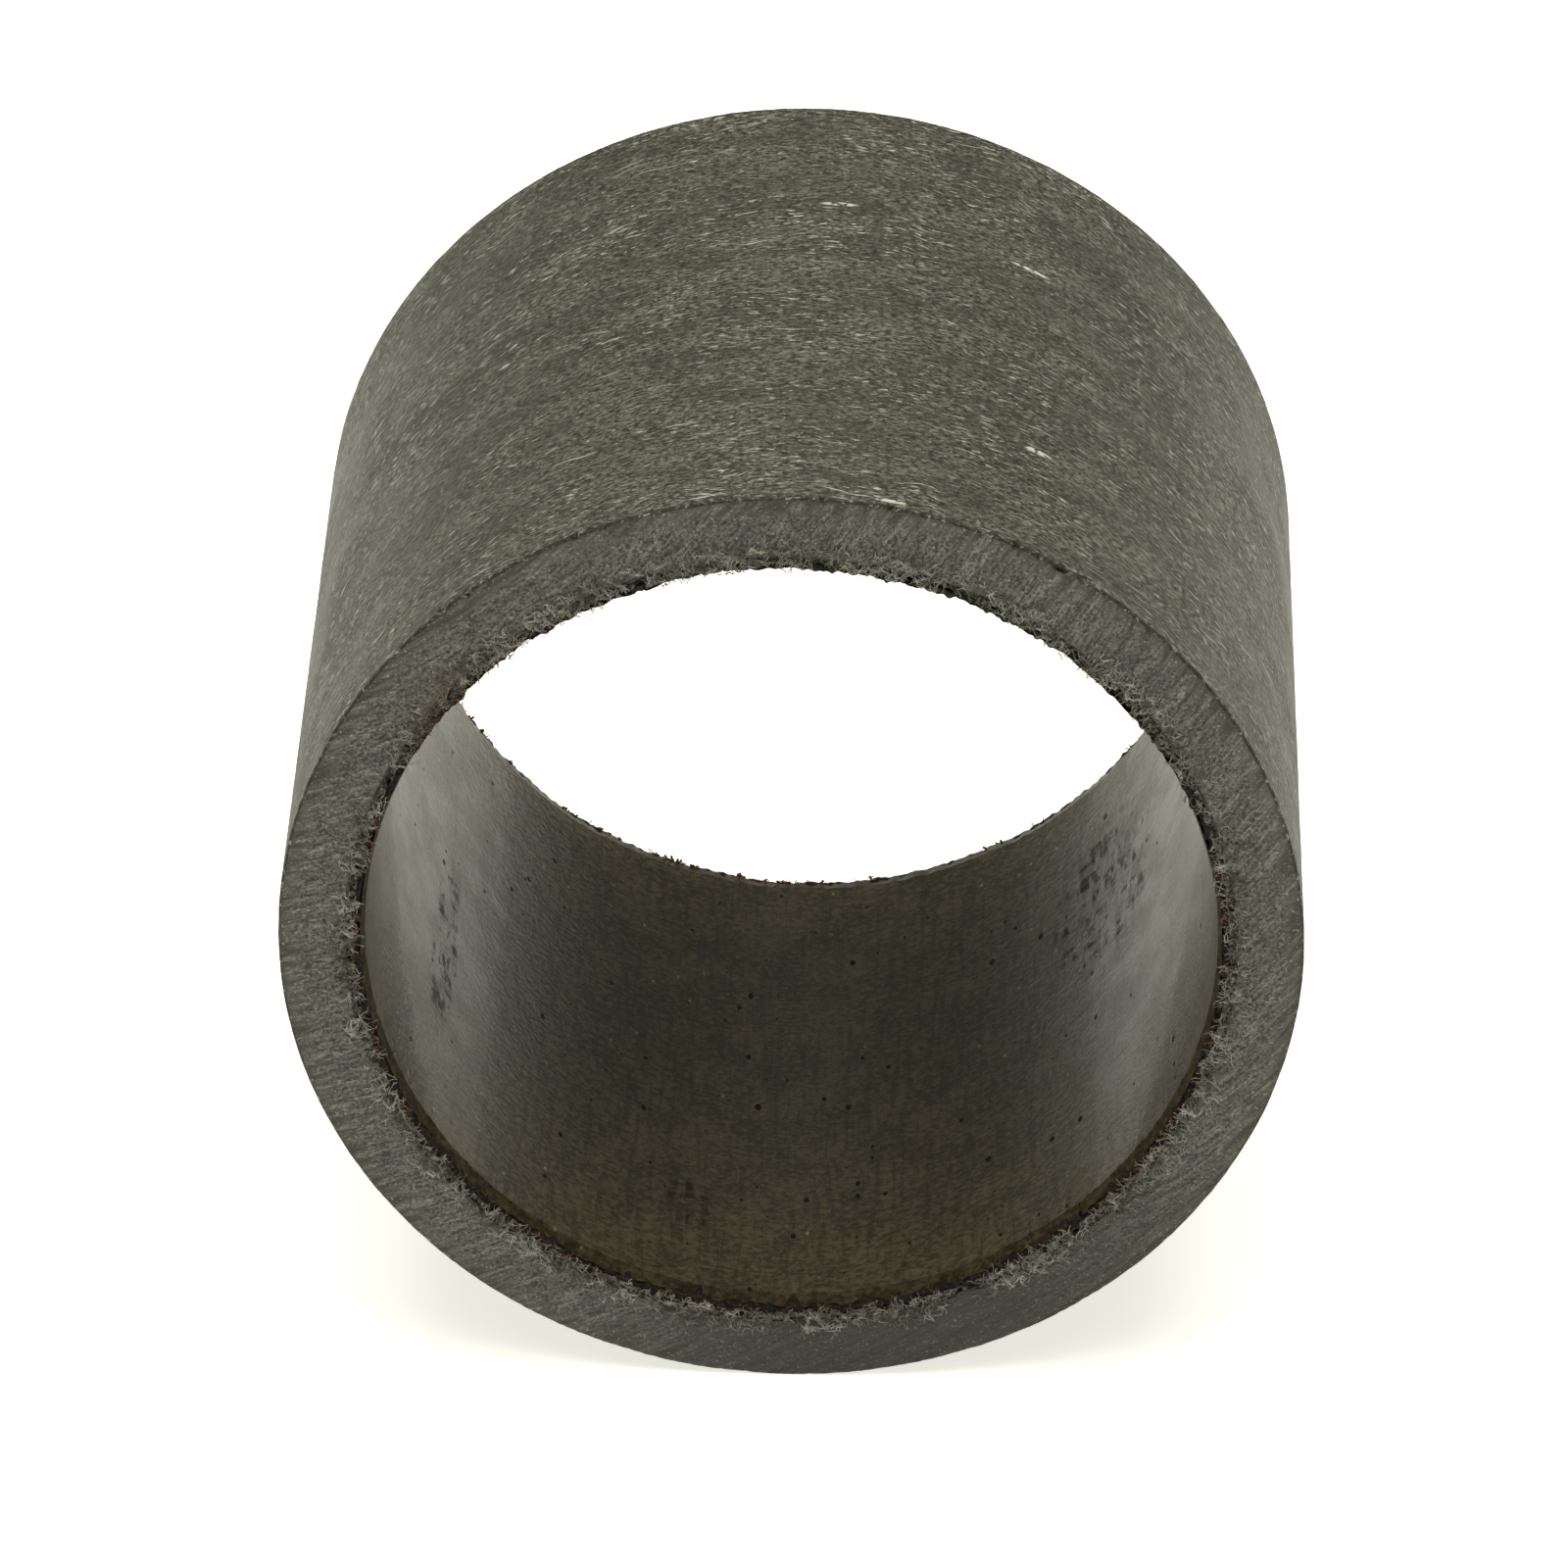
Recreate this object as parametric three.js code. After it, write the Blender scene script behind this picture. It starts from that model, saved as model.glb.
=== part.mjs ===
// A plain sleeve bushing, filament wound: a dry-running liner on the inside and a glass-fibre
// backing on the outside, cured together and sawn to length. Millimetres, +Z up.
// The bore runs along Y, its centre is the origin, and the front end looks along -Y.

import * as THREE from "three";

// Driving dimensions. The layers are listed from the bore outwards, and they fill the wall.
const length = 31.5;
const boreRadius = 15.9;
const outsideRadius = 19.1;
const filmThickness = 0.15;
const ptfeYarnThickness = 0.25;
const carrierYarnThickness = 0.25;
const bondThickness = 0.1;
const outerWindingThickness = 0.55;

// The bore opens out a little at both ends, and the outside corners are just broken.
const leadInDepth = 0.8;
const leadInRise = 0.2;
const edgeBreak = 0.1;

const facetsAround = 128;
const halfFacet = Math.PI / facetsAround;
const halfLength = length / 2;

// Radii of the surfaces between one layer and the next.
const filmBack = boreRadius + filmThickness;
const ptfeYarnBack = filmBack + ptfeYarnThickness;
const carrierYarnBack = ptfeYarnBack + carrierYarnThickness;
const bondBack = carrierYarnBack + bondThickness;
const innerWindingBack = outsideRadius - outerWindingThickness;

// How far in from an end the lead-in cone has a given radius.
function leadInDepthAt(radius) {
  return leadInDepth * (1 - (radius - boreRadius) / leadInRise);
}

// One layer: a closed profile of [radius, along] pairs, turned about the bore's axis. It is turned on
// by half a facet, so that the bushing lies on a flat and not on a corner.
function turnedLayer(name, profile, material) {
  const points = profile.map(([radius, along]) => new THREE.Vector2(radius, along));
  points.push(points[0].clone());
  const mesh = new THREE.Mesh(new THREE.LatheGeometry(points, facetsAround, halfFacet), material);
  mesh.name = name;
  return mesh;
}

// A layer with square ends, as the saw leaves it.
function sawnLayer(name, insideRadius, backRadius, material) {
  const profile = [
    [insideRadius, -halfLength],
    [backRadius, -halfLength],
    [backRadius, halfLength],
    [insideRadius, halfLength],
  ];
  return turnedLayer(name, profile, material);
}

// The smooth graphite-filled resin that the shaft runs on. The lead-in cone takes its ends to nothing.
function runningFilm(material) {
  const bareEnd = halfLength - leadInDepth;
  const featherEnd = halfLength - leadInDepthAt(filmBack);
  const profile = [
    [boreRadius, -bareEnd],
    [filmBack, -featherEnd],
    [filmBack, featherEnd],
    [boreRadius, bareEnd],
  ];
  return turnedLayer("running_film", profile, material);
}

// Low-friction yarn under the film. The lead-in cone reaches into its inside corners.
function ptfeYarnWinding(material) {
  const coneStart = halfLength - leadInDepthAt(filmBack);
  const mouthRadius = boreRadius + leadInRise;
  const profile = [
    [filmBack, -coneStart],
    [mouthRadius, -halfLength],
    [ptfeYarnBack, -halfLength],
    [ptfeYarnBack, halfLength],
    [mouthRadius, halfLength],
    [filmBack, coneStart],
  ];
  return turnedLayer("ptfe_yarn_winding", profile, material);
}

// The last winding of the backing, ground to the outside diameter, with its sharp corners broken.
function backingOuterWinding(material) {
  const profile = [
    [innerWindingBack, -halfLength],
    [outsideRadius - edgeBreak, -halfLength],
    [outsideRadius, edgeBreak - halfLength],
    [outsideRadius, halfLength - edgeBreak],
    [outsideRadius - edgeBreak, halfLength],
    [innerWindingBack, halfLength],
  ];
  return turnedLayer("backing_outer_winding", profile, material);
}

const graphiteResin = new THREE.MeshStandardMaterial({ color: 0x403e36, roughness: 0.3, metalness: 0 });
const brownYarn = new THREE.MeshStandardMaterial({ color: 0x5a3826, roughness: 0.8, metalness: 0 });
const paleYarn = new THREE.MeshStandardMaterial({ color: 0x9a978a, roughness: 0.85, metalness: 0 });
const darkResin = new THREE.MeshStandardMaterial({ color: 0x2b2a24, roughness: 0.55, metalness: 0 });
const sawnGlassEpoxy = new THREE.MeshStandardMaterial({ color: 0x5b5a58, roughness: 0.7, metalness: 0 });
const groundGlassEpoxy = new THREE.MeshStandardMaterial({ color: 0x5a594c, roughness: 0.6, metalness: 0 });

const bushing = new THREE.Group();
bushing.add(
  runningFilm(graphiteResin),
  ptfeYarnWinding(brownYarn),
  sawnLayer("carrier_yarn_winding", ptfeYarnBack, carrierYarnBack, paleYarn),
  sawnLayer("bond_line", carrierYarnBack, bondBack, darkResin),
  sawnLayer("backing_inner_winding", bondBack, innerWindingBack, sawnGlassEpoxy),
  backingOuterWinding(groundGlassEpoxy),
);

export default bushing;
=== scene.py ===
import bpy, math
import numpy as np
from mathutils import Matrix, Vector


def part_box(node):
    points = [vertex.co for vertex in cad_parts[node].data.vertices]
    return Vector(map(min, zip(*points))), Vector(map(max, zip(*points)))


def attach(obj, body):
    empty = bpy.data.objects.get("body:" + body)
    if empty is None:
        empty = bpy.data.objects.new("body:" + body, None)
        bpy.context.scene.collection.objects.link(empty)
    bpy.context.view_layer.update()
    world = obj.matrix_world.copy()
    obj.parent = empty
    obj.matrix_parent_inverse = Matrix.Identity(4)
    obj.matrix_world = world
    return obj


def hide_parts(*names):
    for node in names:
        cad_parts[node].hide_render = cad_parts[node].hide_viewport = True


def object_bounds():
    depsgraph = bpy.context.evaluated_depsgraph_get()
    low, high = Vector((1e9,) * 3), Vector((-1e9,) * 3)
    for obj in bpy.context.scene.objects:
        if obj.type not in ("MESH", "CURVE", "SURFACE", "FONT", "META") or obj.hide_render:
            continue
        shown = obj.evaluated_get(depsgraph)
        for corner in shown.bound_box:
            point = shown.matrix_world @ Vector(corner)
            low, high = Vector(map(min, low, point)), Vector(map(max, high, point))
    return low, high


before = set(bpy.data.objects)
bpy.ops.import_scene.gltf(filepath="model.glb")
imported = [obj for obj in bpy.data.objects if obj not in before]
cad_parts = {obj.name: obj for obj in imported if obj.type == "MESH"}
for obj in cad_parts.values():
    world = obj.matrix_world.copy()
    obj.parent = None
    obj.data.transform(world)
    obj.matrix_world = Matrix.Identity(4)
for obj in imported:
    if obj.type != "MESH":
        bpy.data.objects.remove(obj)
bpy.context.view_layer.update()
mm = 0.001


# sizes read back from the frame: every layer is a ring about the Y axis

def outsideOf(node):
    low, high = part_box(node)
    return high.x / mm

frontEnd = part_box("backing_outer_winding")[0].y / mm
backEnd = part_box("backing_outer_winding")[1].y / mm
length = backEnd - frontEnd
filmBack = outsideOf("running_film")
yarnBack = outsideOf("ptfe_yarn_winding")
carrierBack = outsideOf("carrier_yarn_winding")
bondBack = outsideOf("bond_line")
innerBack = outsideOf("backing_inner_winding")
outside = outsideOf("backing_outer_winding")

# the boxes give only outsides, so the film's thickness and the lead-in cone repeat the part's own sizes
filmThickness = 0.15
leadIn = 0.8
leadInRise = 0.2
boreRadius = filmBack - filmThickness
mouthRadius = boreRadius + leadInRise
layers = (boreRadius, filmBack, yarnBack, carrierBack, bondBack, innerBack, outside)
print("wall layers in mm:", [round(r, 2) for r in layers])


# camera: long lens, a little to the right of the bore's axis and well above it
# turn and raise in degrees; away, right and down in outside radii from the middle of the front end

camera = {"turn": 1.387, "raise": 30.468, "lens": 234.42, "away": 19.889, "right": 0.0129, "down": 0.3190}

def makeCamera():
    turn, lift = math.radians(camera["turn"]), math.radians(camera["raise"])
    right = Vector((math.cos(turn), math.sin(turn), 0))
    back = Vector((math.sin(turn) * math.cos(lift), -math.cos(turn) * math.cos(lift), math.sin(lift)))
    up = back.cross(right)
    radius = outside * mm
    data = bpy.data.cameras.new("camera")
    data.lens, data.sensor_width = camera["lens"], 36
    data.clip_start, data.clip_end = 0.02, 20
    eye = bpy.data.objects.new("camera", data)
    bpy.context.collection.objects.link(eye)
    aside = up * camera["down"] - right * camera["right"]
    eye.location = Vector((0, frontEnd * mm, 0)) + (aside + back * camera["away"]) * radius
    eye.rotation_mode = "QUATERNION"
    eye.rotation_quaternion = Matrix((right, up, back)).transposed().to_quaternion()
    bpy.context.scene.camera = eye

makeCamera()


# light: a pale room, a strong soft panel overhead, one above the back and two weak ones at the sides

studio = {
    "world": 0.26,
    "warmth": (1.0, 0.965, 0.84),
    "floorGlow": 0.68,
    "panels": {  # place, size, watts
        "panelTop": ((0.0, -0.1, 0.5), 0.45, 2.5),
        "panelLeft": ((-0.5, -0.1, 0.12), 0.4, 0.05),
        "panelRight": ((0.5, -0.1, 0.12), 0.4, 0.05),
        "panelBack": ((0.0, 0.3, 0.48), 0.3, 0.55),
    },
}

def softPanel(name, place, size, watts):
    data = bpy.data.lights.new(name, "AREA")
    data.shape, data.size, data.energy = "SQUARE", size, watts
    data.color = studio["warmth"]
    panel = bpy.data.objects.new(name, data)
    bpy.context.collection.objects.link(panel)
    panel.location = place
    panel.rotation_mode = "QUATERNION"
    panel.rotation_quaternion = Vector(place).to_track_quat("Z", "Y")

def makeStudio():
    for name, (place, size, watts) in studio["panels"].items():
        softPanel(name, place, size, watts)
    world = bpy.data.worlds.new("room")
    bpy.context.scene.world = world
    world.use_nodes = True
    background = world.node_tree.nodes["Background"].inputs
    background["Color"].default_value = (*studio["warmth"], 1)
    background["Strength"].default_value = studio["world"]
    bpy.context.scene.view_settings.view_transform = "Standard"

makeStudio()

def makeFloor():
    half, level = 3.0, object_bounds()[0].z
    corners = [(-half, -half, level), (half, -half, level), (half, half, level), (-half, half, level)]
    mesh = bpy.data.meshes.new("floor")
    mesh.from_pydata(corners, [], [(0, 1, 2, 3)])
    floor = bpy.data.objects.new("floor", mesh)
    bpy.context.collection.objects.link(floor)
    paper = bpy.data.materials.new("palePaper")
    paper.use_nodes = True
    shader = paper.node_tree.nodes["Principled BSDF"]
    shader.inputs["Base Color"].default_value = (0.9, 0.89, 0.85, 1)
    shader.inputs["Roughness"].default_value = 0.9
    shader.inputs["Emission Color"].default_value = (1, 0.99, 0.93, 1)
    shader.inputs["Emission Strength"].default_value = studio["floorGlow"]
    mesh.materials.append(paper)

makeFloor()
print("camera, light and floor are in")


# node helpers

class Tree:
    def __init__(self, tree):
        self.tree = tree

    def add(self, kind, settings=None, **inputs):
        node = self.tree.nodes.new(kind)
        for key, value in (settings or {}).items():
            setattr(node, key, value)
        for key, value in inputs.items():
            self.feed(node.inputs[key.replace("_", " ")], value)
        return node

    def feed(self, socket, value):
        if isinstance(value, bpy.types.NodeSocket):
            self.tree.links.new(value, socket)
        elif value is not None:
            socket.default_value = value

    def group(self, tree, **inputs):
        return self.add("ShaderNodeGroup", {"node_tree": tree}, **inputs).outputs

    def math(self, operation, a, b=None, c=None):
        node = self.tree.nodes.new("ShaderNodeMath")
        node.operation = operation
        for socket, value in zip(node.inputs, (a, b, c)):
            self.feed(socket, value)
        return node.outputs[0]

    def plus(self, a, b):
        return self.math("ADD", a, b)

    def minus(self, a, b):
        return self.math("SUBTRACT", a, b)

    def times(self, a, b):
        return self.math("MULTIPLY", a, b)

    def over(self, a, b):
        return self.math("DIVIDE", a, b)

    def weigh(self, a, share, b, otherShare):  # a and b summed, each by its own share
        return self.math("MULTIPLY_ADD", a, share, self.times(b, otherShare))

    def vector(self, operation, a, b=None):
        node = self.tree.nodes.new("ShaderNodeVectorMath")
        node.operation = operation
        for socket, value in zip(node.inputs, (a, b)):
            self.feed(socket, value)
        return node.outputs["Vector"]

    def scale(self, vector, factor):
        node = self.add("ShaderNodeVectorMath", {"operation": "SCALE"}, Vector=vector, Scale=factor)
        return node.outputs["Vector"]

    def distance(self, vector):
        return self.add("ShaderNodeVectorMath", {"operation": "LENGTH"}, Vector=vector).outputs["Value"]

    def split(self, vector):
        return self.add("ShaderNodeSeparateXYZ", None, Vector=vector).outputs

    def join(self, x=None, y=None, z=None):
        return self.add("ShaderNodeCombineXYZ", None, X=x, Y=y, Z=z).outputs[0]

    def between(self, value, low, high, smooth=True):
        node = self.tree.nodes.new("ShaderNodeMapRange")
        node.interpolation_type = "SMOOTHSTEP" if smooth else "LINEAR"
        self.feed(node.inputs["Value"], value)
        self.feed(node.inputs["From Min"], low)
        self.feed(node.inputs["From Max"], high)
        return node.outputs["Result"]

    def mix(self, amount, first, second):
        node = self.tree.nodes.new("ShaderNodeMix")
        node.data_type = "RGBA"
        self.feed(node.inputs[0], amount)
        self.feed(node.inputs[6], first)
        self.feed(node.inputs[7], second)
        return node.outputs[2]

    def lay(self, body, mask, strength, colour):  # colour laid over body where mask is set
        return self.mix(self.times(mask, strength), body, colour)

    def texture(self, place, scale, detail=2.0, rough=0.5):
        node = self.add("ShaderNodeTexNoise", None, Vector=place, Scale=scale)
        self.feed(node.inputs["Detail"], detail)
        self.feed(node.inputs["Roughness"], rough)
        return node.outputs["Fac"]

    def noise(self, place, size, detail=2.0, rough=0.5):  # size in mm
        return self.texture(place, 1 / (size * mm), detail, rough)


def effectGroup(name, inputs, outputs):
    tree = bpy.data.node_groups.new(name, "ShaderNodeTree")
    for title, kind, value in inputs:
        socket = tree.interface.new_socket(name=title, in_out="INPUT", socket_type="NodeSocket" + kind)
        if value is not None:
            socket.default_value = value
    for title in outputs:
        tree.interface.new_socket(name=title, in_out="OUTPUT", socket_type="NodeSocketFloat")
    return Tree(tree), tree.nodes.new("NodeGroupInput").outputs, tree.nodes.new("NodeGroupOutput").inputs


def ringPlaceGroup():  # where a point lies on the bushing: sizes in mm, the angle in degrees
    inputs = [("Vector", "Vector", None)]
    t, given, out = effectGroup("ringPlace", inputs, ["Radius", "End Depth", "Front Depth", "Angle"])
    place = t.split(given["Vector"])
    squares = t.plus(t.times(place["X"], place["X"]), t.times(place["Z"], place["Z"]))
    t.feed(out["Radius"], t.over(t.math("SQRT", squares), mm))
    t.feed(out["End Depth"], t.minus(backEnd, t.over(t.math("ABSOLUTE", place["Y"]), mm)))
    t.feed(out["Front Depth"], t.minus(t.over(place["Y"], mm), frontEnd))
    t.feed(out["Angle"], t.math("DEGREES", t.math("ARCTAN2", place["Z"], place["X"])))
    return t.tree


def fibreLayGroup():  # threads running round the bushing, wandering a little from square
    inputs = [("Vector", "Vector", None), ("Length", "Float", 1.2), ("Width", "Float", 0.08),
              ("Wander", "Float", 0.3), ("Layer", "Float", 0.0), ("Threshold", "Float", 0.6)]
    t, given, out = effectGroup("fibreLay", inputs, ["Glint", "Thread"])
    place = t.split(given["Vector"])
    stray = t.noise(t.vector("ADD", given["Vector"], (0.3, 0.1, 0.2)), 2.6, 1.0)
    strayed = t.times(t.minus(stray, 0.5), given["Wander"])
    along = t.times(given["Length"], mm)
    y = t.plus(t.over(t.plus(t.over(place["Y"], mm), strayed), given["Width"]), given["Layer"])
    run = t.join(t.over(place["X"], along), y, t.over(place["Z"], along))
    thread = t.texture(run, 1.0, 2.0, 0.65)
    t.feed(out["Glint"], t.between(thread, given["Threshold"], t.plus(given["Threshold"], 0.08)))
    t.feed(out["Thread"], thread)
    return t.tree


def sawMarkGroup():  # arcs left by the saw, struck about a point beside the end face
    inputs = [("Vector", "Vector", None), ("Centre", "Vector", (0, 0, 0)),
              ("Pitch", "Float", 0.35), ("Streak", "Float", 0.11)]
    t, given, out = effectGroup("sawMark", inputs, ["Ridge", "Streak", "Scratch"])
    place = t.split(t.vector("SUBTRACT", given["Vector"], given["Centre"]))
    away = t.over(t.distance(t.join(place["X"], None, place["Z"])), mm)
    sweep = t.times(t.math("ARCTAN2", place["Z"], place["X"]), 50.0)
    drift = t.noise(given["Vector"], 4.0, 1.0)
    run = t.join(t.over(t.plus(away, drift), given["Pitch"]), t.over(sweep, 9.0))
    wide = t.texture(run, 1.0, 1.0)
    streak = t.texture(t.join(t.over(away, given["Streak"]), t.over(sweep, 0.8)), 1.0, 2.0, 0.65)
    t.feed(out["Ridge"], wide)
    t.feed(out["Streak"], t.between(streak, 0.3, 0.7, smooth=False))
    t.feed(out["Scratch"], t.times(t.between(wide, 0.52, 0.64), t.between(streak, 0.46, 0.62)))
    return t.tree


def grainGroup():  # cloudy mottling with a fine grain on top
    inputs = [("Vector", "Vector", None), ("Patch", "Float", 3.0), ("Speck", "Float", 0.15)]
    t, given, out = effectGroup("grain", inputs, ["Cloud", "Grain"])
    cloud = t.texture(given["Vector"], t.over(1 / mm, given["Patch"]), 3.0, 0.55)
    speck = t.texture(given["Vector"], t.over(1 / mm, given["Speck"]), 2.5, 0.7)
    t.feed(out["Cloud"], t.between(cloud, 0.36, 0.64))
    t.feed(out["Grain"], t.between(speck, 0.32, 0.68, smooth=False))
    return t.tree


ringPlace, fibreLay, sawMark, grain = ringPlaceGroup(), fibreLayGroup(), sawMarkGroup(), grainGroup()


def startMaterial(name, roughness, specular):
    material = bpy.data.materials.new(name)
    material.use_nodes = True
    t = Tree(material.node_tree)
    shader = material.node_tree.nodes["Principled BSDF"]
    shader.inputs["Roughness"].default_value = roughness
    shader.inputs["Specular IOR Level"].default_value = specular
    place = t.add("ShaderNodeTexCoord").outputs["Object"]
    return material, t, shader, place


def marksAt(t, where, marks):  # soft ovals: each has an angle, half angle, depth and half depth
    total = 0.0
    for angle, halfAngle, depth, halfDepth in marks:
        across = t.over(t.minus(where["Angle"], angle), halfAngle)
        along = t.over(t.minus(where["Front Depth"], depth), halfDepth)
        reach = t.plus(t.times(across, across), t.times(along, along))
        total = t.plus(total, t.between(reach, 1.0, 0.35))
    return total


rust = {"colour": (0.115, 0.062, 0.027, 1), "angle": 141.0, "halfAngle": 8.5, "core": 1.5, "strength": 0.7}

def rustAt(t, place, where):  # the rust-coloured patch high on the left of the bore's edge
    aside = t.math("ABSOLUTE", t.minus(where["Angle"], rust["angle"]))
    blotch = t.between(t.noise(place, 0.4, 3.0), 0.44, 0.60)
    return t.times(t.between(aside, rust["halfAngle"], rust["core"]), blotch)


def raiseBump(t, shader, height, distance):
    bump = t.add("ShaderNodeBump", None, Strength=1.0, Distance=distance * mm, Height=height)
    t.feed(shader.inputs["Normal"], bump.outputs[0])


# the ground outside: glass fibre laid round the bushing, cut through by the grinding

groundGlass = {
    "dark": (0.017, 0.0165, 0.012, 1), "mid": (0.190, 0.187, 0.150, 1),
    "fibre": (0.70, 0.705, 0.66, 1), "shade": (0.040, 0.039, 0.027, 1),
    "roughness": 0.56, "specular": 0.22, "relief": 0.04,
    "threads": {"Length": 0.26, "Width": 0.12, "Wander": 0.6, "Layer": 0.0, "Threshold": 0.6},
    "glints": {"Length": 0.6, "Width": 0.13, "Wander": 1.2, "Layer": 7.0, "Threshold": 0.6},
    "sparks": {"Length": 0.3, "Width": 0.14, "Wander": 0.4, "Layer": 31.0, "Threshold": 0.66},
    "rovings": {"Length": 5.0, "Width": 1.6, "Wander": 1.0, "Layer": 3.0, "Threshold": 0.5},
    "hairs": {"Length": 3.2, "Width": 0.13, "Wander": 1.8, "Layer": 57.0, "Threshold": 0.685},
    "scratches": [
        (62.0, 2.0, 7.8, 0.2), (63.0, 3.0, 22.0, 0.14),
        (86.0, 2.6, 23.4, 0.16), (79.0, 2.0, 0.5, 0.14)],
}

def groundGlassMaterial():
    look = groundGlass
    material, t, shader, place = startMaterial("groundGlass", look["roughness"], look["specular"])
    lays = ("threads", "glints", "sparks", "rovings", "hairs")
    threads, glints, sparks, rovings, hairs = [t.group(fibreLay, Vector=place, **look[lay]) for lay in lays]
    mottle = t.group(grain, Vector=place, Patch=4.0, Speck=0.16)
    where = t.group(ringPlace, Vector=place)
    body = t.mix(t.between(threads["Thread"], 0.37, 0.65, smooth=False), look["dark"], look["mid"])
    body = t.lay(body, t.between(rovings["Thread"], 0.58, 0.40), 0.5, look["shade"])
    body = t.lay(body, t.between(mottle["Grain"], 0.55, 0.2), 0.6, look["dark"])
    body = t.lay(body, glints["Glint"], t.math("MULTIPLY_ADD", mottle["Cloud"], 0.5, 0.12), look["fibre"])
    body = t.lay(body, sparks["Glint"], 0.5, look["fibre"])
    body = t.lay(body, hairs["Glint"], 0.75, look["fibre"])
    scored = t.times(marksAt(t, where, look["scratches"]), t.between(t.noise(place, 0.3, 2.0), 0.40, 0.52))
    body = t.lay(body, scored, 0.8, look["fibre"])
    # the edge of each end is ragged and dark, with pale slivers behind it
    ragged = t.math("MULTIPLY_ADD", t.noise(place, 0.5, 2.0, 0.6), -0.9, t.plus(where["End Depth"], 0.45))
    body = t.lay(body, t.between(ragged, 0.22, 0.08), 0.75, look["dark"])
    sliver = t.times(t.between(where["End Depth"], 0.7, 0.3), t.between(threads["Thread"], 0.60, 0.68))
    body = t.lay(body, sliver, 0.3, look["fibre"])
    t.feed(shader.inputs["Base Color"], body)
    rough = t.math("MULTIPLY_ADD", mottle["Cloud"], 0.12, look["roughness"] - 0.06)
    t.feed(shader.inputs["Roughness"], rough)
    raiseBump(t, shader, t.plus(threads["Thread"], t.times(glints["Thread"], 0.7)), look["relief"])
    return material


# the sawn ends: cut glass and resin, bluish in the middle of the wall and greener at both rims

sawnGlass = {
    "dark": (0.010, 0.0095, 0.0075, 1), "mid": (0.142, 0.136, 0.119, 1), "rim": (0.074, 0.072, 0.047, 1),
    "pale": (0.42, 0.41, 0.37, 1), "lowerDarkening": (0.016, 0.016, 0.009, 1),
    "roughness": 0.55, "specular": 0.5, "relief": 0.06,
    "sawCentre": (-30.9, 40.9), "pitch": 0.34, "streak": 0.12,
    "lowerDarkeningCentre": (5, -18), "lowerDarkeningReach": 19,
}

def sawnGlassMaterial():
    look = sawnGlass
    material, t, shader, place = startMaterial("sawnGlass", look["roughness"], look["specular"])
    where = t.group(ringPlace, Vector=place)
    centre = (look["sawCentre"][0] * mm, 0, look["sawCentre"][1] * mm)
    saw = t.group(sawMark, Vector=place, Centre=centre, Pitch=look["pitch"], Streak=look["streak"])
    mottle = t.group(grain, Vector=place, Patch=1.8, Speck=0.13)
    cut = t.weigh(mottle["Grain"], 0.54, saw["Streak"], 0.46)
    body = t.mix(t.between(cut, 0.29, 0.73, smooth=False), look["dark"], look["mid"])
    outerRim = t.between(where["Radius"], innerBack - 0.4, innerBack + 0.1)
    innerRim = t.between(where["Radius"], bondBack + 0.4, bondBack)
    body = t.lay(body, t.math("MAXIMUM", outerRim, innerRim), 0.5, look["rim"])
    body = t.lay(body, mottle["Cloud"], 0.18, look["dark"])
    body = t.lay(body, t.between(saw["Ridge"], 0.52, 0.38), 0.3, look["dark"])
    body = t.lay(body, saw["Scratch"], t.times(mottle["Grain"], 0.28), look["pale"])
    bitten = t.weigh(mottle["Grain"], 0.3, t.between(saw["Ridge"], 0.5, 0.38), 0.4)
    brink = t.between(t.plus(where["Radius"], bitten), outside - 0.12, outside + 0.12)
    body = t.lay(body, brink, 0.6, look["dark"])
    # darker towards the bottom of the front end, with fewer pale specks there
    low = (look["lowerDarkeningCentre"][0] * mm, frontEnd * mm, look["lowerDarkeningCentre"][1] * mm)
    reach = t.plus(t.distance(t.vector("SUBTRACT", place, low)), t.times(mottle["Cloud"], 2 * mm))
    lowerDarkening = t.between(reach, look["lowerDarkeningReach"] * mm, 4 * mm)
    body = t.lay(body, lowerDarkening, 0.9, look["lowerDarkening"])
    bright = t.between(t.noise(place, 0.12, 2.0, 0.6), 0.61, 0.70)
    body = t.lay(body, bright, t.math("MULTIPLY_ADD", lowerDarkening, -0.2, 0.4), look["pale"])
    rusty = t.times(rustAt(t, place, where), t.between(where["Radius"], bondBack + 0.35, bondBack - 0.05))
    body = t.lay(body, rusty, rust["strength"], rust["colour"])
    t.feed(shader.inputs["Base Color"], body)
    fine = t.weigh(saw["Streak"], 0.4, mottle["Grain"], 0.5)
    raiseBump(t, shader, t.plus(t.times(saw["Ridge"], 1.5), fine), look["relief"])
    return material


# the running film: graphite in resin, polished by use, with small pits, specks of dust and smudges

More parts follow.
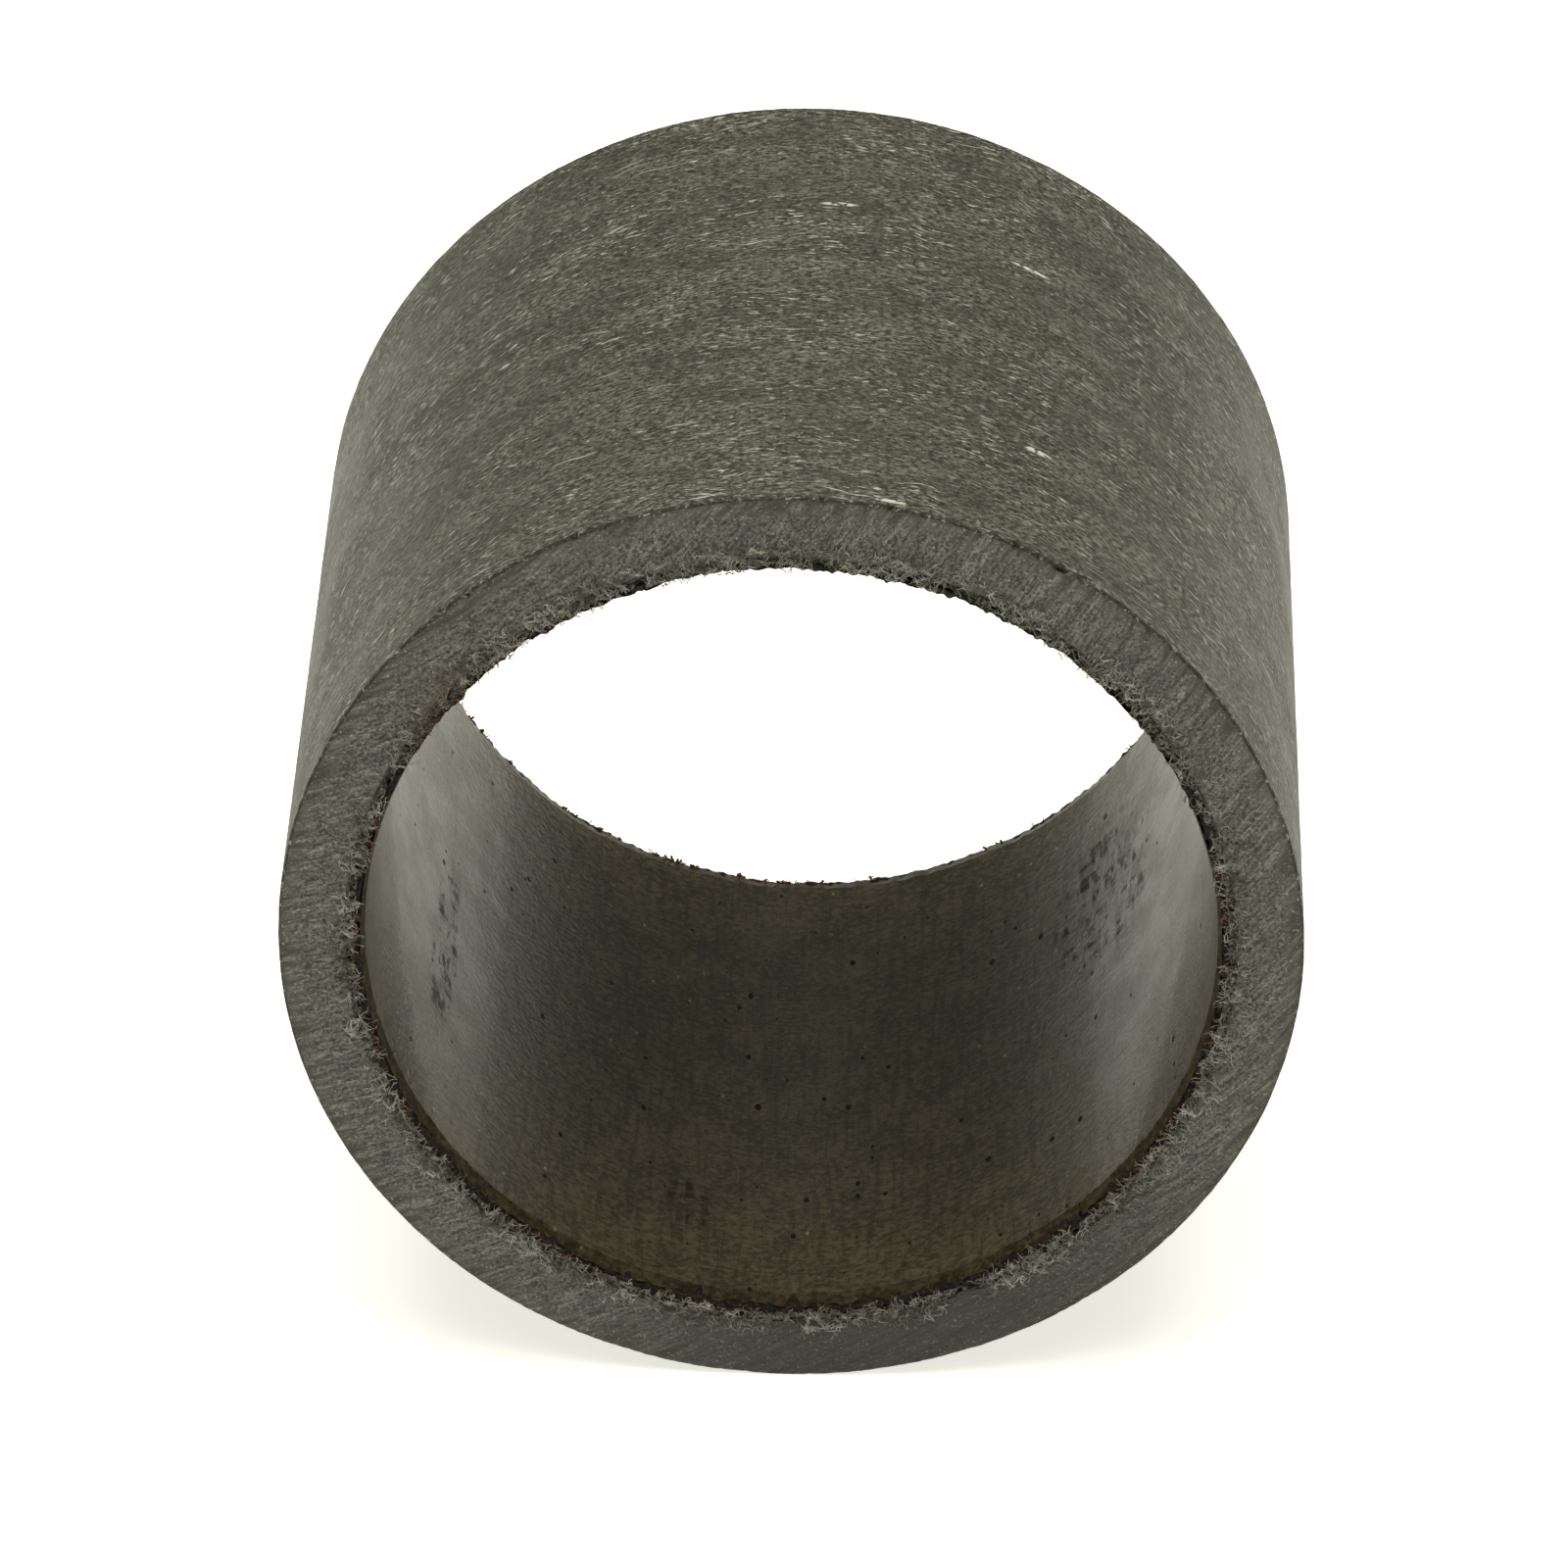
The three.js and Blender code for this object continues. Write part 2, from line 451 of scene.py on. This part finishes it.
film = {
    # the last colour on the next line is the near-black of the painted shade on the lead-in cones
    "dark": (0.028, 0.0225, 0.0100, 1), "mid": (0.101, 0.0875, 0.0485, 1), "wornAndShaded": (0.014, 0.0115, 0.006, 1),
    "pit": (0.005, 0.004, 0.003, 1), "smudge": (0.012, 0.010, 0.007, 1), "dust": (0.26, 0.24, 0.17, 1),
    "rust": (0.19, 0.080, 0.033, 1), "pale": (0.11, 0.10, 0.07, 1), "sheen": (1, 0.965, 0.88, 1),
    "roughness": 0.36, "coneRoughness": 0.46, "specular": 0.21, "coneSpecular": 0.13,
    # the cone mix on the next line sets how far the lead-in cones are darkened as painted shade
    "coat": 0.1, "coneCoat": 0.04, "coatRoughness": 0.085, "coneShade": 0.4, "relief": 0.03,
    "rings": {"Length": 4.0, "Width": 0.13, "Wander": 0.2, "Layer": 2.0, "Threshold": 0.62},
    "axial": {"Length": 0.28, "Width": 3.6, "Wander": 0.0, "Layer": 9.0, "Threshold": 0.62},
    "rows": {"Length": 3.5, "Width": 0.9, "Wander": 0.5, "Layer": 17.0, "Threshold": 0.48},
    "pitShare": 0.21, "dustShare": 0.09, "pitCell": 0.5,
    "smudges": [(-149.5, 3.6, 13.0, 7.5), (-41.0, 12.0, 21.5, 6.5), (-105.0, 4.0, 6.0, 2.6)],
}

def filmMaterial(name, wornAndShaded):  # the second argument is set for the lead-in cones, which have lost their polish and are darkened as painted shade
    look = film
    roughness = look["coneRoughness"] if wornAndShaded else look["roughness"]
    specular = look["coneSpecular"] if wornAndShaded else look["specular"]
    material, t, shader, place = startMaterial(name, roughness, specular)
    shader.inputs["Specular Tint"].default_value = look["sheen"]
    shader.inputs["Coat Weight"].default_value = look["coneCoat"] if wornAndShaded else look["coat"]
    shader.inputs["Coat Roughness"].default_value = look["coatRoughness"]
    where = t.group(ringPlace, Vector=place)
    mottle = t.group(grain, Vector=place, Patch=2.2, Speck=0.26)
    lays = ("rings", "axial", "rows")
    rings, axial, rows = [t.group(fibreLay, Vector=place, **look[lay]) for lay in lays]
    blotch = t.weigh(mottle["Cloud"], 0.22, mottle["Grain"], 0.78)
    body = t.mix(t.between(blotch, 0.12, 0.88), look["dark"], look["mid"])
    body = t.lay(body, t.between(axial["Thread"], 0.50, 0.34), 0.5, look["smudge"])
    body = t.lay(body, t.between(rings["Thread"], 0.48, 0.34), 0.42, look["smudge"])
    body = t.lay(body, rings["Glint"], 0.12, look["pale"])
    # one cell in five holds a pit and one in eleven a speck of dust
    stretched = t.vector("MULTIPLY", place, (1.0, 0.55, 1.0))
    cells = t.add("ShaderNodeTexVoronoi", None, Vector=stretched, Scale=1 / (look["pitCell"] * mm)).outputs
    lot = t.add("ShaderNodeSeparateColor", None, Color=cells["Color"]).outputs
    reach = t.math("MULTIPLY_ADD", t.math("POWER", lot["Green"], 2.4), 0.19, 0.06)
    hole = t.between(cells["Distance"], t.plus(reach, 0.03), reach)
    pit = t.times(hole, t.math("GREATER_THAN", lot["Red"], 1 - look["pitShare"]))
    speck = t.between(cells["Distance"], 0.17, 0.10)
    dust = t.times(speck, t.math("LESS_THAN", lot["Red"], look["dustShare"]))
    # smudges are short strokes along the bore, standing in rows round it
    strokes = t.between(t.noise(t.vector("MULTIPLY", place, (1.0, 0.22, 1.0)), 0.36, 4.0, 0.7), 0.46, 0.58)
    hatched = t.times(strokes, t.math("MULTIPLY_ADD", rows["Glint"], 0.75, 0.25))
    smudge = t.times(hatched, t.math("MINIMUM", marksAt(t, where, look["smudges"]), 1.0))
    body = t.lay(body, t.between(t.noise(place, 0.3, 1.0), 0.71, 0.78), 0.5, look["rust"])
    body = t.lay(body, smudge, 0.7, look["smudge"])
    body = t.lay(body, dust, 0.75, look["dust"])
    # painted shade: the lead-in cones are darkened towards the near-black colour
    if wornAndShaded:
        body = t.mix(look["coneShade"], body, look["wornAndShaded"])
    rearEdge = t.between(where["Front Depth"], length - 0.7, length - 0.25)
    body = t.lay(body, t.times(rearEdge, t.between(t.noise(place, 0.7, 2.0), 0.52, 0.62)), 0.8, look["rust"])
    body = t.mix(pit, body, look["pit"])
    t.feed(shader.inputs["Base Color"], body)
    rough = t.math("MULTIPLY_ADD", mottle["Cloud"], 0.08, roughness - 0.04)
    t.feed(shader.inputs["Roughness"], t.plus(rough, t.times(t.math("MAXIMUM", smudge, pit), 0.4)))
    height = t.weigh(mottle["Grain"], 0.34, mottle["Cloud"], 0.25)
    height = t.plus(height, t.weigh(rings["Thread"], 0.12, axial["Thread"], 0.12))
    raiseBump(t, shader, t.minus(height, t.times(pit, 2.5)), look["relief"])
    return material


# yarns and the bond line, seen at the cut ends; bias is how much of the grain stays dark

yarns = {
    "carrierYarnCut": {
        "dark": (0.018, 0.016, 0.010, 1), "light": (0.36, 0.355, 0.31, 1),
        "roughness": 0.8, "speck": 0.12, "relief": 0.12, "bias": 0.28},
    "brownYarnCut": {
        "dark": (0.010, 0.008, 0.006, 1), "light": (0.085, 0.042, 0.022, 1),
        "roughness": 0.75, "speck": 0.12, "relief": 0.12, "bias": 0.48},
    "bondResin": {
        "dark": (0.018, 0.017, 0.011, 1), "light": (0.095, 0.090, 0.066, 1),
        "roughness": 0.6, "speck": 0.15, "relief": 0.08, "bias": 0.0},
    "paleFibre": {
        "dark": (0.09, 0.087, 0.068, 1), "light": (0.54, 0.535, 0.48, 1),
        "roughness": 0.6, "speck": 0.45, "relief": 0.01, "bias": 0.2},
    "brownFibre": {
        "dark": (0.030, 0.017, 0.009, 1), "light": (0.25, 0.108, 0.042, 1),
        "roughness": 0.65, "speck": 0.4, "relief": 0.01, "bias": 0.25},
    # partly painted light: the rear fray's rust-coloured fibre, made about twice as bright as the brown fibre
    # to offset the shade it sits in
    "brightenedRustFibre": {
        "dark": (0.08, 0.040, 0.020, 1), "light": (0.46, 0.20, 0.08, 1),
        "roughness": 0.7, "speck": 0.4, "relief": 0.01, "bias": 0.25},
}

def yarnMaterial(name, look):
    material, t, shader, place = startMaterial(name, look["roughness"], 0.3)
    mottle = t.group(grain, Vector=place, Patch=look["speck"] * 4, Speck=look["speck"])
    where = t.group(ringPlace, Vector=place)
    amount = t.between(t.weigh(mottle["Grain"], 0.7, mottle["Cloud"], 0.3), look["bias"], 1.0, smooth=False)
    body = t.mix(amount, look["dark"], look["light"])
    body = t.lay(body, rustAt(t, place, where), rust["strength"], rust["colour"])
    t.feed(shader.inputs["Base Color"], body)
    raiseBump(t, shader, mottle["Grain"], look["relief"])
    return material

looks = {
    "groundGlass": groundGlassMaterial(),
    "sawnGlass": sawnGlassMaterial(),
    "graphiteFilm": filmMaterial("graphiteFilm", False),
    "dullShadedConeFilm": filmMaterial("dullShadedConeFilm", True),
}
for name, look in yarns.items():
    looks[name] = yarnMaterial(name, look)
print("finishes:", ", ".join(looks))


# relief shared by the layers, in mm: sums of seeded waves that close round the ring

def waveField(angle, along, seed, size, radius, waves=40):
    rng = np.random.default_rng(seed)
    total = np.zeros(np.broadcast(angle, along).shape)
    for _ in range(waves):
        turn, pace = rng.uniform(0, 2 * math.pi), 2 * math.pi / (size * rng.uniform(0.7, 2.2))
        around = round(pace * math.cos(turn) * radius)
        total += np.cos(around * angle + pace * math.sin(turn) * along + rng.uniform(0, 2 * math.pi))
    return total / math.sqrt(waves / 2)


def ringWander(angle, seed, size, radius, waves=30):  # along one circle only
    return waveField(angle, np.zeros_like(angle), seed, size, radius, waves)


sawCut = {
    "pitches": (0.31, 0.43, 0.58, 0.9, 1.7), "ridge": 0.009,
    "grain": 0.007, "finest": 0.22, "coarsest": 0.8,
}

def sawRelief(x, z, side):  # ridges struck about the saw's centre, plus torn grain
    cx, cz = sawnGlass["sawCentre"]
    away = np.hypot(x - cx * side, z - cz)
    rng = np.random.default_rng(31)
    pitches = sawCut["pitches"]
    ridge = sum(np.cos(2 * math.pi * away / pitch + rng.uniform(0, 6.28)) for pitch in pitches) / 2.2
    rng = np.random.default_rng(32)
    grains = np.zeros_like(x)
    for _ in range(40):
        turn = rng.uniform(0, 2 * math.pi)
        pace = 2 * math.pi / rng.uniform(sawCut["finest"], sawCut["coarsest"])
        grains += np.cos(pace * (math.cos(turn) * x + math.sin(turn) * z) + rng.uniform(0, 6.28))
    return ridge * sawCut["ridge"] + grains / math.sqrt(20) * sawCut["grain"]


def inwards(y):  # the way from an end into the bushing, along Y
    return np.where(y < 0, 1.0, -1.0)


def makeRing(name, profile, steps, shape, material, second=None, faceTest=None):
    # profile is a closed loop of (radius, along) in mm, carried round in steps
    # shape moves the points: radius r, place y along the axis and angle a go in, new r and y come out
    # second is a material for the bands that faceTest picks
    angle = np.arange(steps) * 2 * math.pi / steps
    radius = np.array([p[0] for p in profile])[:, None] * np.ones(steps)
    along = np.array([p[1] for p in profile])[:, None] * np.ones(steps)
    a = np.ones((len(profile), 1)) * angle
    r, y = shape(radius, along, a)
    points = np.stack([r * np.cos(a), y, r * np.sin(a)], -1).reshape(-1, 3) * mm
    rows, cols = len(profile), steps
    row, col = np.meshgrid(np.arange(rows), np.arange(cols), indexing="ij")
    under, after = (row + 1) % rows * cols, (col + 1) % cols
    quads = np.stack([row * cols + col, under + col, under + after, row * cols + after], -1).reshape(-1, 4)
    mesh = bpy.data.meshes.new(name)
    mesh.vertices.add(len(points))
    mesh.vertices.foreach_set("co", points.ravel())
    mesh.loops.add(quads.size)
    mesh.loops.foreach_set("vertex_index", quads.ravel())
    mesh.polygons.add(len(quads))
    mesh.polygons.foreach_set("loop_start", np.arange(0, quads.size, 4))
    mesh.polygons.foreach_set("loop_total", np.full(len(quads), 4))
    mesh.polygons.foreach_set("use_smooth", np.ones(len(quads), bool))
    mesh.materials.append(material)
    if second:
        mesh.materials.append(second)
        pick = faceTest(np.array(profile), np.roll(np.array(profile), -1, 0))
        mesh.polygons.foreach_set("material_index", np.repeat(pick.astype(int), cols))
    mesh.update(calc_edges=True)
    mesh.validate()
    mesh.set_sharp_from_angle(angle=math.radians(50))
    piece = bpy.data.objects.new(name, mesh)
    bpy.context.collection.objects.link(piece)
    print(name, len(quads) * 2, "triangles")
    return piece


def bandsBeyond(depth):  # picks the bands that lie wholly further out than depth along the axis
    return lambda p, q: (np.abs(p[:, 1]) > depth - 0.01) & (np.abs(q[:, 1]) > depth - 0.01)


def steppedLine(start, stop, count):
    return [start + (stop - start) * k / count for k in range(count)]


def gradedAlong(first, last, near, far):  # short steps at both ends, long ones in the middle
    rows, y, step = [first], first, near
    while y + step < 0:
        y += step
        rows.append(y)
        step = min(step * 1.35, far)
    rows[-1] = 0.0
    return rows + [-v for v in rows[-2:0:-1]] + [last]


# the outer winding of the backing

outerWinding = {"steps": 1300, "edgeBreak": 0.1, "lay": 0.012, "chip": 0.19, "chipReach": 0.16, "rings": 8}

def shapeOuterWinding(r, y, a):
    look = outerWinding
    x, z = r * np.cos(a), r * np.sin(a)
    onSkin = np.clip((r - innerBack) / (outside - innerBack), 0, 1) ** 6
    endDepth = backEnd - np.abs(y)
    onEnd = np.clip(1 - endDepth / 0.12, 0, 1)
    side = inwards(y)
    lay = waveField(a, y, 5, 1.6, outside, 50) * look["lay"] + ringWander(a, 6, 9.0, outside) * 0.01
    # the front edge is chipped, most of all at the top
    chips = ringWander(a, 7, 0.5, outside, 60) * 0.6 + ringWander(a, 8, 3.5, outside) * 0.6
    upper = 0.05 + 0.95 * np.clip(np.sin(a) * 2.2 - 1, 0, 1)
    corner = np.exp(-(np.hypot(outside - r, endDepth) / look["chipReach"]) ** 2)
    chip = np.clip(chips - 0.35, 0, 2.2) * upper * look["chip"] * corner * np.where(y < 0, 1.0, 0.0)
    r = r - onSkin * (np.abs(lay) * 0.6) - chip * 0.9
    y = y + side * (onEnd * sawRelief(x, z, side) * (r > innerBack + 0.01) + chip)
    return r, y

def makeOuterWinding():
    cut, rings = outerWinding["edgeBreak"], outerWinding["rings"]
    rows = gradedAlong(frontEnd + cut, backEnd - cut, 0.07, 0.75)
    face = steppedLine(innerBack + 0.02, outside - cut, rings)
    profile = [(innerBack, frontEnd)] + [(r, frontEnd) for r in face]
    profile += [(outside - cut, frontEnd), (outside - cut * 0.3, frontEnd + cut * 0.3)]
    profile += [(outside, y) for y in rows]
    profile += [(outside - cut * 0.3, backEnd - cut * 0.3), (outside - cut, backEnd)]
    profile += [(r, backEnd) for r in reversed(face)] + [(innerBack, backEnd)]
    piece = makeRing(
        "outerWinding", profile, outerWinding["steps"], shapeOuterWinding,
        looks["groundGlass"], looks["sawnGlass"], bandsBeyond(backEnd))
    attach(piece, "root")
    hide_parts("backing_outer_winding")

makeOuterWinding()


# the inner winding of the backing: the wide sawn ring

innerWinding = {"steps": 1500, "rings": 24}

def shapeSawnEnds(r, y, a):
    side = inwards(y)
    inside = (r > bondBack + 0.01) & (r < innerBack - 0.01)
    return r, y + side * sawRelief(r * np.cos(a), r * np.sin(a), side) * inside

def makeInnerWinding():
    ring = steppedLine(bondBack + 0.02, innerBack - 0.02, innerWinding["rings"]) + [innerBack - 0.02]
    profile = [(bondBack, frontEnd)] + [(r, frontEnd) for r in ring]
    profile += [(innerBack, frontEnd), (innerBack, 0.0), (innerBack, backEnd)]
    profile += [(r, backEnd) for r in reversed(ring)] + [(bondBack, backEnd), (bondBack, 0.0)]
    piece = makeRing("innerWinding", profile, innerWinding["steps"], shapeSawnEnds, looks["sawnGlass"])
    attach(piece, "root")
    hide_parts("backing_inner_winding")

makeInnerWinding()


# bond line, carrier yarn and brown yarn: thin rings whose cut ends are torn

tornRings = {
    "steps": 1200, "rows": 5, "ragged": 0.10, "rearShare": 0.45,
    "bond": {"tear": 0.04, "sink": 0.03, "seed": 41},
    "carrier": {"tear": 0.24, "sink": 0.05, "seed": 51},
    "brown": {"tear": 0.09, "sink": 0.10, "seed": 61},
}

def tornRing(name, node, material, inner, outer, look, cone=False):
    seed = look["seed"]

    def shape(r, y, a):
        endDepth = backEnd - np.abs(y)
        onEnd = np.clip(1 - endDepth / 1.0, 0, 1) * np.where(y < 0, 1.0, tornRings["rearShare"])
        coarse = waveField(a, r, seed, 0.55, inner, 50)
        fine = waveField(a, r, seed + 1, 0.22, inner, 50)
        torn = np.clip(coarse, -0.9, 1.6) * 0.6 + fine * 0.35
        y = y + inwards(y) * onEnd * (look["sink"] + look["tear"] * torn)
        if cone:
            lip = onEnd * np.clip((mouthRadius + 0.12 - r) / 0.12, 0, 1)
            frayed = ringWander(a, seed + 2, 0.45, inner, 50) * 0.55
            frayed = frayed + ringWander(a, seed + 3, 2.2, inner, 20) * 0.45
            r = r - lip * tornRings["ragged"] * np.clip(frayed, -0.8, 1.8)
        return r, y

    ring = steppedLine(mouthRadius if cone else inner, outer, tornRings["rows"]) + [outer]
    profile = [(r, frontEnd) for r in ring] + [(outer, 0.0)] + [(r, backEnd) for r in reversed(ring)]
    if cone:
        start = backEnd - leadIn * 0.25
        down = [(mouthRadius - 0.012 * k, backEnd - 0.05 * k) for k in range(1, 5)]
        profile += down + [(inner, start - 0.05), (inner, -start + 0.05)]
        profile += [(r, -y) for r, y in reversed(down)]
    else:
        profile += [(inner, 0.0)]
    piece = makeRing(name, profile, tornRings["steps"], shape, material)
    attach(piece, "root")
    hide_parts(node)

tornRing("bondLine", "bond_line", looks["bondResin"], carrierBack, bondBack, tornRings["bond"])
tornRing(
    "carrierYarn", "carrier_yarn_winding", looks["carrierYarnCut"],
    yarnBack, carrierBack, tornRings["carrier"])
tornRing(
    "brownYarn", "ptfe_yarn_winding", looks["brownYarnCut"],
    filmBack, yarnBack, tornRings["brown"], cone=True)


# the running film, with its ends worn to a ragged feather edge

runningFilm = {"steps": 900, "row": 0.33, "wave": 0.0022, "ripple": 0.0012, "feather": 0.12, "crease": 0.04}

def shapeFilm(r, y, a):
    look = runningFilm
    endDepth = backEnd - np.abs(y)
    wave = waveField(a, y, 71, 3.0, boreRadius, 40) * look["wave"]
    wave = wave + waveField(a, y, 72, 0.9, boreRadius, 40) * look["ripple"]
    wornAndShaded = ringWander(a, 73, 0.5, boreRadius, 50) * 0.6 + ringWander(a, 74, 3.0, boreRadius) * 0.5
    nearEnd = np.clip(1 - (endDepth - 0.2) / 1.0, 0, 1)
    return r + (r < filmBack - 0.02) * wave, y + inwards(y) * nearEnd * look["feather"] * wornAndShaded

def makeFilm():
    featherEnd = backEnd - leadIn * 0.25
    bareEnd = backEnd - leadIn
    crease = runningFilm["crease"]  # a close row on each side of the cone's foot keeps that corner crisp
    count = int(2 * bareEnd / runningFilm["row"])
    shares = (0, 0.25, 0.5, 0.75, 0.94, 1)
    cone = [(filmBack - filmThickness * s, featherEnd - (featherEnd - bareEnd) * s) for s in shares]
    profile = [(filmBack, 0.0), (filmBack, featherEnd)] + cone[1:]
    profile += [(boreRadius, y) for y in [bareEnd - crease] + steppedLine(bareEnd, -bareEnd, count)[1:]]
    profile += [(boreRadius, crease - bareEnd), (boreRadius, -bareEnd)]
    profile += [(r, -y) for r, y in reversed(cone[:-1])]
    piece = makeRing(
        "runningFilm", profile, runningFilm["steps"], shapeFilm,
        looks["graphiteFilm"], looks["dullShadedConeFilm"], bandsBeyond(bareEnd))
    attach(piece, "root")
    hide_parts("running_film")

makeFilm()


# frayed yarn round both edges of the bore: short arcs of tube, bunched, spun and tangled
# sizes in mm, angles in radians; Rear is the share of arcs at the rear, set against one at the front

def frayTree():
    tree = bpy.data.node_groups.new("yarnFray", "GeometryNodeTree")
    sizes = [("Count", "Int", 500), ("Inner", "Float", 16.0), ("Outer", "Float", 16.5),
             ("End", "Float", 15.75), ("Stand", "Float", 0.1), ("Curl", "Float", 0.2),
             ("Sweep", "Float", 3.5), ("Rear", "Float", 1.0), ("Spin", "Float", 1.0),
             ("Tilt", "Float", 0.5), ("Tangle", "Float", 0.2), ("Thickness", "Float", 0.03),
             ("Bunching", "Float", 0.5), ("Seed", "Int", 1), ("Finish", "Material", None)]
    tree.interface.new_socket(name="Geometry", in_out="INPUT", socket_type="NodeSocketGeometry")
    for title, kind, value in sizes:
        socket = tree.interface.new_socket(name=title, in_out="INPUT", socket_type="NodeSocket" + kind)
        if value is not None:
            socket.default_value = value
    tree.interface.new_socket(name="Geometry", in_out="OUTPUT", socket_type="NodeSocketGeometry")
    t = Tree(tree)
    given, out = tree.nodes.new("NodeGroupInput").outputs, tree.nodes.new("NodeGroupOutput").inputs

    def draw(low, high, salt):
        node = t.add("FunctionNodeRandomValue", {"data_type": "FLOAT"})
        t.feed(node.inputs[2], low)
        t.feed(node.inputs[3], high)
        t.feed(node.inputs["Seed"], t.plus(given["Seed"], salt))
        return node.outputs[1]

    # roots, scattered round an end and thinned out between the bunches
    angle = draw(0.0, 2 * math.pi, 1)
    radius = t.times(draw(given["Inner"], given["Outer"], 2), mm)
    end = t.math("SIGN", draw(-1.0, given["Rear"], 3))
    stand = t.plus(given["End"], t.times(given["Stand"], draw(-1.0, 1.0, 4)))
    height = t.times(t.times(end, stand), mm)
    spot = t.join(t.times(t.math("COSINE", angle), radius), height, t.times(t.math("SINE", angle), radius))
    points = t.add("GeometryNodePoints", None, Count=given["Count"], Position=spot)
    here = t.add("GeometryNodeInputPosition").outputs[0]
    bunch = t.noise(here, 1.6, 1.0)
    sparse = t.math("LESS_THAN", bunch, given["Bunching"])
    kept = t.add(
        "GeometryNodeDeleteGeometry", {"domain": "POINT"},
        Geometry=points.outputs[0], Selection=sparse)

    # one arc, moved so that its middle is at the root
    curl, half = t.times(given["Curl"], mm), t.times(given["Sweep"], 0.5)
    arc = t.add(
        "GeometryNodeCurveArc", {"mode": "RADIUS"},
        Resolution=7, Sweep_Angle=given["Sweep"], Radius=curl)
    middle = t.join(t.times(curl, t.math("COSINE", half)), t.times(curl, t.math("SINE", half)))
    arc = t.add("GeometryNodeSetPosition", None, Geometry=arc.outputs[0], Offset=t.scale(middle, -1.0))

    # laid along the edge, curving in or out, each with its own spin, lean and stretch
    flip = t.times(t.math("GREATER_THAN", draw(-1.0, 1.0, 9), 0.0), math.pi)
    spin = t.plus(t.minus(t.plus(half, flip), angle), t.times(given["Spin"], draw(-1.0, 1.0, 6)))
    lean = t.plus(math.pi / 2, t.times(given["Tilt"], draw(-1.0, 1.0, 5)))
    turned = t.join(lean, spin, t.times(given["Tilt"], draw(-1.0, 1.0, 7)))
    stretch = t.join(draw(0.3, 1.3, 8), draw(0.3, 1.3, 10), 1.0)
    grown = t.add(
        "GeometryNodeInstanceOnPoints", None,
        Points=kept.outputs[0], Instance=arc.outputs[0], Rotation=turned, Scale=stretch)
    loose = t.add("GeometryNodeRealizeInstances", None, Geometry=grown.outputs[0])

    # tangled by a swirl in space, then given thickness
    swirl = t.add("ShaderNodeTexNoise", None, Vector=here, Scale=1 / (0.35 * mm), Detail=1.0)
    swirl = swirl.outputs["Color"]
    push = t.scale(t.vector("SUBTRACT", swirl, (0.5, 0.5, 0.5)), t.times(given["Tangle"], 2.4 * mm))
    bent = t.add("GeometryNodeSetPosition", None, Geometry=loose.outputs[0], Offset=push)
    thread = t.times(given["Thickness"], mm / 2)
    ring = t.add("GeometryNodeCurvePrimitiveCircle", {"mode": "RADIUS"}, Resolution=3, Radius=thread)
    tube = t.add(
        "GeometryNodeCurveToMesh", None,
        Curve=bent.outputs[0], Profile_Curve=ring.outputs[0], Fill_Caps=True)
    solid = t.add("GeometryNodeRealizeInstances", None, Geometry=tube.outputs[0])
    done = t.add("GeometryNodeSetMaterial", None, Geometry=solid.outputs[0], Material=given["Finish"])
    t.feed(out["Geometry"], done.outputs[0])
    return tree

fray = frayTree()

def makeFray(name, settings):
    holder = bpy.data.objects.new(name + "Holder", bpy.data.meshes.new(name + "Holder"))
    bpy.context.collection.objects.link(holder)
    modifier = holder.modifiers.new("fray", "NODES")
    sockets = {item.name: item.identifier for item in fray.interface.items_tree if item.in_out == "INPUT"}
    modifier.node_group = fray
    for title, value in settings.items():
        modifier[sockets[title]] = value
    seen = holder.evaluated_get(bpy.context.evaluated_depsgraph_get())
    mesh = bpy.data.meshes.new_from_object(seen)
    bpy.data.objects.remove(holder)
    mesh.name = name
    piece = bpy.data.objects.new(name, mesh)
    bpy.context.collection.objects.link(piece)
    mesh.polygons.foreach_set("use_smooth", np.ones(len(mesh.polygons), bool))
    print(name, sum(len(p.vertices) - 2 for p in mesh.polygons), "triangles")
    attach(piece, "root")

carrierFray = {
    "Count": 5600, "Rear": 0.12, "Inner": yarnBack - 0.08, "Outer": bondBack + 0.4, "End": backEnd + 0.05,
    "Stand": 0.06, "Curl": 0.7, "Sweep": 0.95, "Spin": 0.55, "Tilt": 0.14, "Tangle": 0.26,
    "Thickness": 0.024, "Bunching": 0.41, "Seed": 11, "Finish": looks["paleFibre"],
}
carrierLoops = {
    "Count": 2900, "Rear": 0.1, "Inner": yarnBack, "Outer": bondBack + 0.5, "End": backEnd + 0.07,
    "Stand": 0.06, "Curl": 0.26, "Sweep": 3.0, "Spin": 3.1, "Tilt": 0.35, "Tangle": 0.36,
    "Thickness": 0.022, "Bunching": 0.52, "Seed": 17, "Finish": looks["paleFibre"],
}
brownFray = {
    "Count": 2600, "Inner": mouthRadius - 0.04, "Outer": yarnBack - 0.02, "End": backEnd - 0.05,
    "Stand": 0.14, "Curl": 0.2, "Sweep": 1.1, "Spin": 1.5, "Tilt": 0.9, "Tangle": 0.12,
    "Thickness": 0.045, "Bunching": 0.54, "Seed": 23, "Finish": looks["brownFibre"],
}
rearFray = {  # with Rear at 0 every arc stands at minus End, which lies just inside the rear end
    "Count": 900, "Rear": 0.0, "Inner": mouthRadius - 0.05, "Outer": mouthRadius + 0.06,
    "End": 0.12 - backEnd, "Stand": 0.1, "Curl": 0.3, "Sweep": 0.9, "Spin": 0.15, "Tilt": 0.12, "Tangle": 0.1,
    # the finish on the next line is partly rust colour and partly painted light, brightened against the shade
    # at the rear edge
    "Thickness": 0.12, "Bunching": 0.58, "Seed": 29, "Finish": looks["brightenedRustFibre"],
}
makeFray("carrierFray", carrierFray)
makeFray("carrierLoops", carrierLoops)
makeFray("brownFray", brownFray)
makeFray("rearFray", rearFray)
